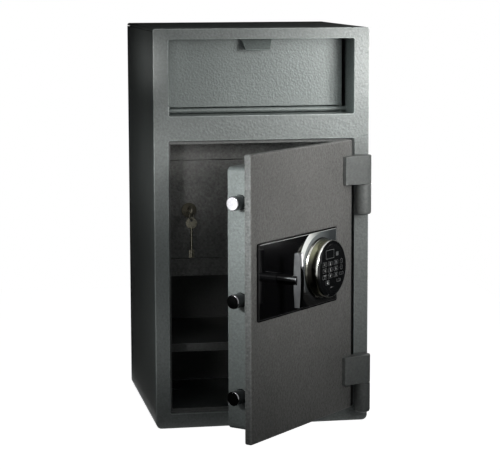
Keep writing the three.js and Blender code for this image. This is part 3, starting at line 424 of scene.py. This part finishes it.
# Locker lock and its keys
# A die-cast lock case behind the door, a dark bronze rose in front, and two flat-bowed nickelled keys on a
# wire ring.
case_alloy = bare_metal("case_alloy", (0.30, 0.30, 0.29), 0.5, fineness=400.0, relief=0.2)
nickel_plate = bare_metal("nickel_plate", (0.20, 0.19, 0.15), 0.30, fineness=350.0, relief=0.2, spread=0.12)
rose_bronze = bare_metal("rose_bronze", (0.07, 0.065, 0.05), 0.35, fineness=350.0, relief=0.2, spread=0.12)
sheet_part("locker_lock_case", case_alloy, "dark_steel", 0.5 * mm)
sheet_part("locker_lock_bolt", bright_rod, "polished_steel", 0.4 * mm)
sheet_part("locker_escutcheon", rose_bronze, "nickel", 0.35 * mm)
sheet_part("locker_key", nickel_plate, "nickel", 0.3 * mm)
sheet_part("spare_key", nickel_plate, "nickel", 0.3 * mm)
sheet_part("key_ring", nickel_plate, "polished_steel", 0)

# Shelf
# One folded sheet with a turned-down lip, painted as the vault is and laid on two angle rails that are
# welded to its sides.
sheet_part("shelf", inner_shade_enamel, "inner_paint", 0.5 * mm)
for rail in ("shelf_rail_left", "shelf_rail_right"):
    sheet_part(rail, inner_shade_enamel, "inner_paint", 0.4 * mm)

# Hinges
# Turned steel barrels welded to the frame carry the pins; the bored leaves that drop over them are
# welded to the door, and all of it is sprayed with the body. It is drawn in a darker copy of the body
# enamel, painted shade, with a weaker painted highlight on its edges.
hinge_shade_enamel = hammered_enamel("hinge_shade_enamel", (0.118, 0.125, 0.123), edge_highlight=1.6)
for barrel in ("hinge_barrel_lower", "hinge_barrel_upper"):
    sheet_part(barrel, hinge_shade_enamel, "body_paint", 0.5 * mm)
for leaf in ("hinge_leaf_lower", "hinge_leaf_upper"):
    sheet_part(leaf, hinge_shade_enamel, "door_paint", 0.6 * mm)


# Boltwork casing and door plate
# The casing is folded sheet, welded to the back of a thick sawn plate with ground edges, whose free edge
# is painted darker than its face as painted shade. The door's own X runs from the free edge (negative) to
# the hinge axis, Y back through the door.
def paint_facing(bm, direction, least, material_index):
    """Gives another material to the faces whose normals lie along a direction by a least share."""
    for face in bm.faces:
        if face.normal.dot(direction) > least:
            face.material_index = material_index


sheet_part("boltwork_casing", body_enamel, "door_paint", 0.6 * mm)
door_joint =next(j for j in frame["joints"] if j["name"] == "main_door")
door_angle = math.radians(-door_joint["range_deg"][0])
hinge_place = Vector((door_joint["pos_m"][0], door_joint["pos_m"][1], 0))
door_frame = Matrix.Translation(hinge_place) @ Matrix.Rotation(door_angle, 4, "Z")
free_edge = door_frame.to_3x3() @ Vector((-1, 0, 0))
door_paint = {"relief": 1.0, "speckle": 0.32, "edge_highlight": 1.25}
door_enamel = hammered_enamel("door_enamel", (0.150, 0.149, 0.145), **door_paint)
# Painted shade: the plate's free edge gets a darker copy of the door enamel
edge_shade_enamel = hammered_enamel("edge_shade_enamel", (0.106, 0.107, 0.105), **door_paint)
plate = merged_copy("door_plate")
mark_rounding(plate, door_frame.to_3x3().inverted())
paint_facing(plate, free_edge, 0.6, 1)
stand_in(plate, "door_plate_skin", "door_plate", "door_paint", door_enamel, edge_shade_enamel)


# Casing cover
# A flat steel lid over the boltwork, sprayed with the body and held by eight zinc-plated pan-head screws
# with cross recesses.
def door_box(node_name):
    """A CAD node's lowest and highest corner in the door's own coordinates."""
    inverse = door_frame.inverted()
    points = [inverse @ v.co for v in frame["nodes"][node_name].data.vertices]
    return (Vector([min(p[i] for p in points) for i in range(3)]),
            Vector([max(p[i] for p in points) for i in range(3)]))


def turned(profile, place, steps=64):
    """A turned solid: the profile is (distance along the axis, radius), the axis is local +Z of place."""
    bm = bmesh.new()
    ring = [bm.verts.new((radius, 0, along)) for along, radius in profile]
    line = [bm.edges.new(pair) for pair in zip(ring, ring[1:])]
    bmesh.ops.spin(
        bm, geom=ring + line, cent=(0, 0, 0), axis=(0, 0, 1), angle=math.tau, steps=steps, use_merge=True,
        use_duplicate=False)
    bmesh.ops.remove_doubles(bm, verts=bm.verts, dist=0.005 * mm)
    bmesh.ops.recalc_face_normals(bm, faces=bm.faces)
    bmesh.ops.transform(bm, matrix=place, verts=bm.verts)
    return bm


def add_faces(bm, addition, first_material):
    """Moves a second bmesh into a first, its materials counted from one of theirs."""
    mesh = bpy.data.meshes.new("addition")
    addition.to_mesh(mesh)
    addition.free()
    before = set(bm.faces)
    bm.from_mesh(mesh)
    for face in set(bm.faces) - before:
        face.material_index += first_material
    bpy.data.meshes.remove(mesh)


def pan_screw(bm, place, radius, first_material):
    """A pan-head screw, its head rising along +Z of place, with a cross recess drawn as a thin near-black
    box, painted shade.
    """
    head_height, recess_width, recess_length, recess_sink = 0.64, 0.09, 0.42, 0.02  # shares of the radius
    head = turned([
        (0, 0), (0, radius), (0.35 * radius, 0.96 * radius), (0.55 * radius, 0.78 * radius),
        (head_height * radius, 0.45 * radius), (head_height * radius, 0)], Matrix.Identity(4), 24)
    for face in head.faces:
        face.tag = True
    for half in ((recess_width, recess_length), (recess_length, recess_width)):
        bar = bmesh.ops.create_cube(head, size=2)["verts"]
        bmesh.ops.scale(head, vec=(half[0] * radius, half[1] * radius, recess_sink * radius), verts=bar)
        bmesh.ops.translate(head, vec=(0, 0, (head_height + 0.005) * radius), verts=bar)
    for face in head.faces:
        if not face.tag:
            face.material_index = 1
    bmesh.ops.transform(head, matrix=place, verts=head.verts)
    add_faces(bm, head, first_material)


zinc = bare_metal("zinc", (0.42, 0.43, 0.45), 0.34, fineness=500.0)
# Painted shade: the cross recesses are near-black
recess_shade = bare_metal("recess_shade", (0.03, 0.03, 0.03), 0.6)
screw_radius = 3.6 * mm
screw_seat = 0.1 * mm
screw_from_side, screw_from_end, screw_pitch = 8 * mm, 9 * mm, 121 * mm
cover_low, cover_high = door_box("boltwork_cover")
lid = merged_copy("boltwork_cover")
round_edges(lid, 0.5 * mm)
facing_back = Matrix.Rotation(math.radians(-90), 4, "X")
screw_rows = (
    cover_low.z + screw_from_end, cover_low.z + screw_from_end + screw_pitch,
    cover_high.z - screw_from_end - screw_pitch, cover_high.z - screw_from_end)
for x in (cover_low.x + screw_from_side, cover_high.x - screw_from_side):
    for z in screw_rows:
        seat = Matrix.Translation((x, cover_high.y - screw_seat, z))
        pan_screw(lid, door_frame @ seat @ facing_back, screw_radius, 1)
stand_in(lid, "boltwork_cover_skin", "boltwork_cover", "door_paint", body_enamel, zinc, recess_shade)

# Bolts and carriage
# Three turned round bars, bright at their ends and painted darker along their sides as painted shade, each
# with a stud that a nut holds through the carriage bar.
bolt_steel = bare_metal("bolt_steel", (0.26, 0.26, 0.27), 0.10, spread=0.02, fineness=250.0, relief=0)
# Painted shade: the bolts' sides get a dark copy of the bolt steel
bolt_side_shade = bare_metal("bolt_side_shade", (0.085, 0.085, 0.09), 0.2, spread=0.05, fineness=250.0, relief=0)
along_bolt = Matrix.Rotation(math.radians(90), 4, "Y")
bolt_chamfer = 1.0 * mm
stud_radius, stud_length, stud_chamfer = 5 * mm, 10.3 * mm, 0.5 * mm
for bolt in ("bolt_lower", "bolt_middle", "bolt_upper"):
    low, high = door_box(bolt)
    centre = (low + high) / 2
    bolt_radius = (high.z - low.z) / 2
    length = high.x - low.x
    shoulder = length - stud_length
    profile = [
        (0, 0), (0, bolt_radius - bolt_chamfer - 0.3 * mm), (0.12 * mm, bolt_radius - bolt_chamfer),
        (bolt_chamfer, bolt_radius - 0.1 * mm), (bolt_chamfer + 0.4 * mm, bolt_radius),
        (shoulder, bolt_radius), (shoulder, stud_radius), (length - stud_chamfer, stud_radius),
        (length, stud_radius - stud_chamfer), (length, 0)]
    place = door_frame @ Matrix.Translation((low.x, centre.y, centre.z)) @ along_bolt
    bar = turned(profile, place)
    for face in bar.faces:
        if abs(face.normal.dot(free_edge)) < 0.3:
            face.material_index = 1
    stand_in(bar, bolt + "_turned", bolt, "polished_steel", bolt_steel, bolt_side_shade)
oiled_steel = bare_metal("oiled_steel", (0.12, 0.12, 0.125), 0.42)
sheet_part("bolt_carriage", oiled_steel, "dark_steel", 0.5 * mm)
sheet_part("crank_cam", oiled_steel, "dark_steel", 0.4 * mm)
sheet_part("hard_plate", oiled_steel, "dark_steel", 0.4 * mm)
sheet_part("lock_case", case_alloy, "cast_alloy", 0.8 * mm)
sheet_part("lock_bolt", nickel_plate, "nickel", 0.5 * mm)


# T-handle
# One casting on the spindle: an upright bar with satin sides and a polished front, on a dark polished neck.
# A painted highlight runs as a satin strip along the neck's upper left, and the front's left half is painted
# near-black, painted shade that keeps the reflected glint to its right half.
def door_spot(material):
    """X, Y and Z of the shaded point in the door's own coordinates."""
    place = add_node(material, "Mapping", {
        "Vector": object_place(material), "Location": hinge_place, "Rotation": (0, 0, door_angle)},
        vector_type="TEXTURE")
    return add_node(material, "SeparateXYZ", {0: place.outputs[0]}).outputs


def within(material, value, low, high, soft=0.15 * mm):
    """1 where a value lies between low and high, with a soft edge."""
    up = ramp(material, value, low - soft, low + soft)
    down = ramp(material, value, high - soft, high + soft, 1.0, 0.0)
    return math_node(material, "MULTIPLY", up, down)


def blend_colour(material, factor, first, second):
    return add_node(material, "Mix", {0: factor, 6: first, 7: second}, data_type="RGBA").outputs[2]


anywhere = 1.0  # metres, a bound that no point of the part reaches
bar_depth, bar_half_width = 13.2 * mm, 5.1 * mm
highlight_low, highlight_high = 2.4 * mm, 4.6 * mm
glint_from = 0.4 * mm
neck_smoother = 0.2
handle_low, handle_high = door_box("t_handle")
handle_centre = (handle_low + handle_high) / 2
handle_plate = new_material("handle_plate")
handle_x, handle_y, handle_z = door_spot(handle_plate)
behind_bar = within(handle_plate, handle_y, handle_low.y + bar_depth, anywhere, 0.4 * mm)
aside = math_node(handle_plate, "ABSOLUTE", math_node(handle_plate, "SUBTRACT", handle_x, handle_centre.x))
beside_bar = within(handle_plate, aside, bar_half_width, anywhere, 0.05 * mm)
above_centre = math_node(handle_plate, "SUBTRACT", handle_z, handle_centre.z)
# Painted highlight: a satin strip along the upper left of the neck
painted_highlight_strip = within(handle_plate, above_centre, highlight_low, highlight_high, 0.3 * mm)
on_neck = math_node(
    handle_plate, "MULTIPLY", math_node(handle_plate, "MAXIMUM", behind_bar, beside_bar),
    math_node(handle_plate, "SUBTRACT", 1.0, painted_highlight_strip))
handle_cloud = noise(handle_plate, object_place(handle_plate), 90.0, detail=3.0).outputs["Fac"]
satin = blend_colour(
    handle_plate, ramp(handle_plate, handle_cloud, *noise_span), (0.13, 0.13, 0.135, 1),
    (0.165, 0.165, 0.17, 1))
feed(handle_plate, "Base Color", blend_colour(handle_plate, on_neck, satin, (0.05, 0.05, 0.052, 1)))
feed(handle_plate, "Roughness", math_node(
    handle_plate, "SUBTRACT", ramp(handle_plate, handle_cloud, *noise_span, 0.30, 0.38),
    math_node(handle_plate, "MULTIPLY", on_neck, neck_smoother)))
handle_plate.node_tree.nodes["Principled BSDF"].inputs["Metallic"].default_value = 1
handle_gloss = bare_metal("handle_gloss", None, 0.06, spread=0.02, fineness=200.0, relief=0)
# Painted shade: the front's left half is near-black, so the reflected glint shows on its right half only
glint_half = within(
    handle_gloss, door_spot(handle_gloss)[0], handle_centre.x + glint_from, anywhere, 0.3 * mm)
feed(handle_gloss, "Base Color", blend_colour(
    handle_gloss, glint_half, (0.04, 0.04, 0.042, 1), (0.36, 0.36, 0.37, 1)))
door_outward = door_frame.to_3x3() @ Vector((0, -1, 0))
handle = merged_copy("t_handle")
round_edges(handle, 0.5 * mm)
paint_facing(handle, door_outward, 0.9, 1)
stand_in(handle, "t_handle_skin", "t_handle", "nickel", handle_plate, handle_gloss)


# Escutcheon panel
# A moulded acrylic plate with matt sides and its print behind the gloss: a black field, and a silver one
# that an arc round the keypad bounds, inside a fine pale line. Light is painted into the print: the silver
# darkens towards the bottom and lightens to the upper left, a white band inside the arc beside the keypad
# is a painted highlight, and the pale line is painted dimmer at the bottom and near the left.
def gloss_plastic(name, colour, roughness):
    material = new_material(name)
    dust = noise(material, object_place(material), 350.0, detail=4.0).outputs["Fac"]
    feed(material, "Base Color", tinted(material, colour, ramp(material, dust, 0.0, 1.0, 0.8, 1.2)))
    feed(material, "Roughness", ramp(material, dust, *noise_span, roughness * 0.7, roughness * 1.4))
    return material


panel_low, panel_high = door_box("escutcheon_panel")
keypad_low, keypad_high = door_box("keypad_housing")
keypad_centre = (keypad_low + keypad_high) / 2
arc_outer, arc_inner = 67 * mm, 55 * mm
black_margin, line_width, line_soft = 2.2 * mm, 1.0 * mm, 0.1 * mm
print_black = (0.003, 0.003, 0.0035, 1)
panel_print = new_material("panel_print")
panel_x, _, panel_z = door_spot(panel_print)
from_left = math_node(panel_print, "SUBTRACT", panel_x, panel_low.x)
from_right = math_node(panel_print, "SUBTRACT", panel_high.x, panel_x)
from_bottom = math_node(panel_print, "SUBTRACT", panel_z, panel_low.z)
from_top = math_node(panel_print, "SUBTRACT", panel_high.z, panel_z)
nearest_side = math_node(panel_print, "MINIMUM", from_left, from_right)
nearest_end = math_node(panel_print, "MINIMUM", from_bottom, from_top)
inset = math_node(panel_print, "MINIMUM", nearest_side, nearest_end)
across = math_node(panel_print, "SUBTRACT", panel_x, keypad_centre.x)
rise = math_node(panel_print, "SUBTRACT", panel_z, keypad_centre.z)
flat_spot = add_node(panel_print, "CombineXYZ", {0: across, 1: rise})
distance = add_node(panel_print, "VectorMath", {0: flat_spot.outputs[0]}, operation="LENGTH").outputs["Value"]
silver_field = math_node(
    panel_print, "MAXIMUM", within(panel_print, distance, -anywhere, arc_outer),
    within(panel_print, across, 0.0, anywhere))
# Painted light: the silver lightens towards the upper left and darkens towards the bottom, and a white band
# inside the arc beside the keypad is a painted highlight
painted_light = math_node(
    panel_print, "MULTIPLY", ramp(panel_print, rise, -35 * mm, 20 * mm),
    ramp(panel_print, across, -45 * mm, 30 * mm, 1.0, 0.0))
painted_highlight_band = math_node(
    panel_print, "MULTIPLY", within(panel_print, distance, arc_inner, arc_outer, 0.5 * mm),
    ramp(panel_print, across, -30 * mm, 0.0, 1.0, 0.0))
painted_rise_light = ramp(panel_print, rise, -60 * mm, 60 * mm)
silver = blend_colour(panel_print, painted_rise_light, (0.012, 0.012, 0.012, 1), (0.05, 0.056, 0.06, 1))
lit_silver = blend_colour(panel_print, painted_light, silver, (0.24, 0.26, 0.27, 1))
highlight_silver = blend_colour(panel_print, painted_light, (0.012, 0.012, 0.012, 1), (0.95, 0.97, 0.97, 1))
field = blend_colour(panel_print, painted_highlight_band, lit_silver, highlight_silver)
printed = blend_colour(panel_print, silver_field, print_black, field)
# Painted light: the pale line dims towards the bottom and near the left edge
line_painted_light = math_node(panel_print, "MULTIPLY", painted_rise_light, ramp(panel_print, from_left, 3.5 * mm, 10 * mm))
line_grey = blend_colour(panel_print, line_painted_light, (0.035, 0.035, 0.035, 1), (0.42, 0.43, 0.43, 1))
line = within(panel_print, inset, black_margin, black_margin + line_width, line_soft)
margin = within(panel_print, inset, -anywhere, black_margin, line_soft)
lined = blend_colour(panel_print, line, printed, line_grey)
feed(panel_print, "Base Color", blend_colour(panel_print, margin, lined, (0.003, 0.003, 0.003, 1)))
panel_print.node_tree.nodes["Principled BSDF"].inputs["Roughness"].default_value = 0.09
panel_print.node_tree.nodes["Principled BSDF"].inputs["Specular IOR Level"].default_value = 0.5
panel_side = gloss_plastic("panel_side", (0.004, 0.004, 0.004), 0.55)
panel_side.node_tree.nodes["Principled BSDF"].inputs["Specular IOR Level"].default_value = 0.15
panel = merged_copy("escutcheon_panel")
round_edges(panel, 0.3 * mm)
for face in panel.faces:
    if face.normal.dot(door_outward) < 0.99:
        face.material_index = 1
stand_in(panel, "escutcheon_panel_skin", "escutcheon_panel", "black_gloss", panel_print, panel_side)

# Keypad housing and face
# A dark-chromed round shell with a rolled rim, closed in front by a gloss black dished cover that holds a
# small display window, a light sensor beside it and a thumb rest at the foot. The shell is tinted olive at
# its top and bottom, a painted reflection, and the rim and foot carry a painted highlight in their upper
# part.
shell_chrome = bare_metal("shell_chrome", None, 0.12, spread=0.03, fineness=200.0, relief=0)
_, _, shell_z = door_spot(shell_chrome)
shell_up = math_node(shell_chrome, "SUBTRACT", shell_z, keypad_centre.z)
# Painted reflection: the shell is tinted olive towards its top and its bottom
painted_reflection_ends = math_node(
    shell_chrome, "MAXIMUM", ramp(shell_chrome, shell_up, 12 * mm, 36 * mm),
    ramp(shell_chrome, shell_up, -20 * mm, -42 * mm))
feed(shell_chrome, "Base Color", blend_colour(
    shell_chrome, painted_reflection_ends, (0.045, 0.042, 0.036, 1), (0.34, 0.34, 0.23, 1)))

# Painted highlight: the rim and the foot are painted bright in their upper part, the foot from higher up and
# less than the rim
foot_higher, foot_glint_share = 16 * mm, 0.45
rim_chrome = bare_metal("rim_chrome", None, 0.20, spread=0.04, fineness=200.0, relief=0)
_, rim_y, rim_z = door_spot(rim_chrome)
rim_up = math_node(rim_chrome, "SUBTRACT", rim_z, keypad_centre.z)
on_foot = ramp(rim_chrome, rim_y, keypad_high.y - 5 * mm, keypad_high.y - 4 * mm)
rim_glint_upper = ramp(
    rim_chrome, math_node(rim_chrome, "MULTIPLY_ADD", on_foot, -foot_higher, rim_up), -12 * mm, 4 * mm)
rim_glint = math_node(
    rim_chrome, "MULTIPLY", rim_glint_upper, ramp(rim_chrome, on_foot, 0.0, 1.0, 1.0, foot_glint_share))
feed(rim_chrome, "Base Color", blend_colour(
    rim_chrome, rim_glint, (0.12, 0.12, 0.10, 1), (0.75, 0.75, 0.72, 1)))

face_black = gloss_plastic("face_black", (0.006, 0.0065, 0.007), 0.12)
pale_print = gloss_plastic("pale_print", (0.10, 0.105, 0.105), 0.4)
facing_front = Matrix.Rotation(math.radians(90), 4, "X")
shell_foot = Matrix.Translation((keypad_centre.x, keypad_high.y, keypad_centre.z))
shell_place = door_frame @ shell_foot @ facing_front
foot_radius, dish_radius = 49 * mm, 40.3 * mm
rim_start, cover_start, dish_floor = 17.6 * mm, 20.9 * mm, 18.1 * mm
shell_profile = [
    (0, 0), (0, foot_radius - 0.6 * mm), (0.4 * mm, foot_radius), (1.8 * mm, foot_radius),
    (2.5 * mm, foot_radius - 0.9 * mm), (3.0 * mm, 47.0 * mm), (4.2 * mm, 46.3 * mm), (12 * mm, 46.2 * mm),
    (rim_start, 46.1 * mm), (18.6 * mm, 46.1 * mm), (19.6 * mm, 45.8 * mm), (20.4 * mm, 45.3 * mm),
    (cover_start, 44.7 * mm), (22.0 * mm, 43.0 * mm), (22.8 * mm, 41.3 * mm), (23 * mm, 40.6 * mm),
    (22.6 * mm, dish_radius), (dish_floor, dish_radius), (dish_floor, 0)]
shell = turned(shell_profile, shell_place, 96)
from_foot = shell_place.inverted()
for face in shell.faces:
    centre = from_foot @ face.calc_center_median()
    radius = Vector((centre.x, centre.y)).length
    if centre.z > cover_start or radius < dish_radius + 0.2 * mm and centre.z > 1.0 * mm:
        face.material_index = 2
    elif centre.z > rim_start or radius > 46.6 * mm:
        face.material_index = 1
stand_in(shell, "keypad_shell", "keypad_housing", "nickel", shell_chrome, rim_chrome, face_black)


def framed_plate(bm, x, z, half_width, half_height, line, inner_index):
    """A thin plate with round corners on the cover, edged by a printed line; x and z from its centre."""
    corner, rise = 0.8 * mm, 0.1 * mm
    outline = []
    for turn, (sx, sz) in enumerate(((1, 1), (-1, 1), (-1, -1), (1, -1))):
        for step in range(5):
            angle = math.radians(90 * turn + 22.5 * step)
            side = x + sx * (half_width - corner) + corner * math.cos(angle)
            height = z + sz * (half_height - corner) + corner * math.sin(angle)
            spot = (keypad_centre.x + side, cover_front - rise, keypad_centre.z + height)
            outline.append(bm.verts.new(door_frame @ Vector(spot)))
    plate = bm.faces.new(outline)
    if plate.normal.dot(door_outward) < 0:
        plate.normal_flip()
    sides = bmesh.ops.extrude_face_region(bm, geom=[plate])
    fresh = [v for v in sides["geom"] if isinstance(v, bmesh.types.BMVert)]
    front = next(f for f in sides["geom"] if isinstance(f, bmesh.types.BMFace))
    bmesh.ops.translate(bm, verts=fresh, vec=rise * door_outward)
    bmesh.ops.translate(bm, verts=outline, vec=-2 * rise * door_outward)
    edging = bmesh.ops.inset_region(bm, faces=[front], thickness=line, use_even_offset=True)
    for face in edging["faces"]:
        face.material_index = 1
    front.material_index = inner_index


rest_drop, rest_half_width, rest_half_height, rest_rise = 32 * mm, 11 * mm, 4.6 * mm, 0.5 * mm
cover = merged_copy("keypad_face")
round_edges(cover, 0.15 * mm)
cover_front = door_box("keypad_face")[0].y
framed_plate(cover, -9.5 * mm, 24.8 * mm, 12.5 * mm, 7.2 * mm, line=0.9 * mm, inner_index=0)
framed_plate(cover, 13.0 * mm, 23.3 * mm, 3.9 * mm, 3.2 * mm, line=0.5 * mm, inner_index=1)
rest_profile = [
    (rest_rise * math.cos(math.radians(angle)), math.sin(math.radians(angle))) for angle in range(0, 91, 10)]
rest_centre = Matrix.Translation((keypad_centre.x, cover_front, keypad_centre.z - rest_drop))
rest_oval = Matrix.Diagonal((rest_half_width, rest_half_height, 1.0, 1.0))
add_faces(cover, turned(rest_profile, door_frame @ rest_centre @ facing_front @ rest_oval, 48), 0)
stand_in(cover, "keypad_face_skin", "keypad_face", "black_gloss", face_black, pale_print)

# Keys
# Gloss plastic caps that stand in the cover's holes, each with a printed pale outline; ten of them carry a
# white number.
cap_black = gloss_plastic("cap_black", (0.008, 0.008, 0.009), 0.25)
digit_white = gloss_plastic("digit_white", (0.62, 0.64, 0.64), 0.4)
outline_margin, outline_width = 0.35 * mm, 0.6 * mm
digit_height, digit_rise = 4.6 * mm, 0.04 * mm
capital_share = 0.7  # of the text's size
for key in sorted(n for n in frame["nodes"] if n.startswith("key_") and n != "key_ring"):
    bm = merged_copy(key)
    front = max(bm.faces, key=lambda f: (round(f.normal.dot(door_outward), 2), f.calc_area()))
    bmesh.ops.inset_region(bm, faces=[front], thickness=outline_margin, use_even_offset=True)
    ring = bmesh.ops.inset_region(bm, faces=[front], thickness=outline_width, use_even_offset=True)
    for face in ring["faces"]:
        face.material_index = 1
    label = key[len("key_"):]
    if label.isdigit():
        text = bpy.data.curves.new("digit", "FONT")
        text.body = label
        text.size = digit_height / capital_share
        text.align_x = "CENTER"
        text.align_y = "CENTER"
        text.extrude = digit_rise
        carrier = bpy.data.objects.new("digit", text)
        flat_digit = bpy.data.meshes.new_from_object(carrier)
        low, high = door_box(key)
        middle = Matrix.Translation(((low.x + high.x) / 2, low.y, (low.z + high.z) / 2))
        flat_digit.transform(door_frame @ middle @ facing_front)
        digit = bmesh.new()
        digit.from_mesh(flat_digit)
        add_faces(bm, digit, 2)
        bpy.data.meshes.remove(flat_digit)
        bpy.data.objects.remove(carrier)
        bpy.data.curves.remove(text)
    stand_in(bm, key + "_cap", key, "black_key", cap_black, pale_print, digit_white)
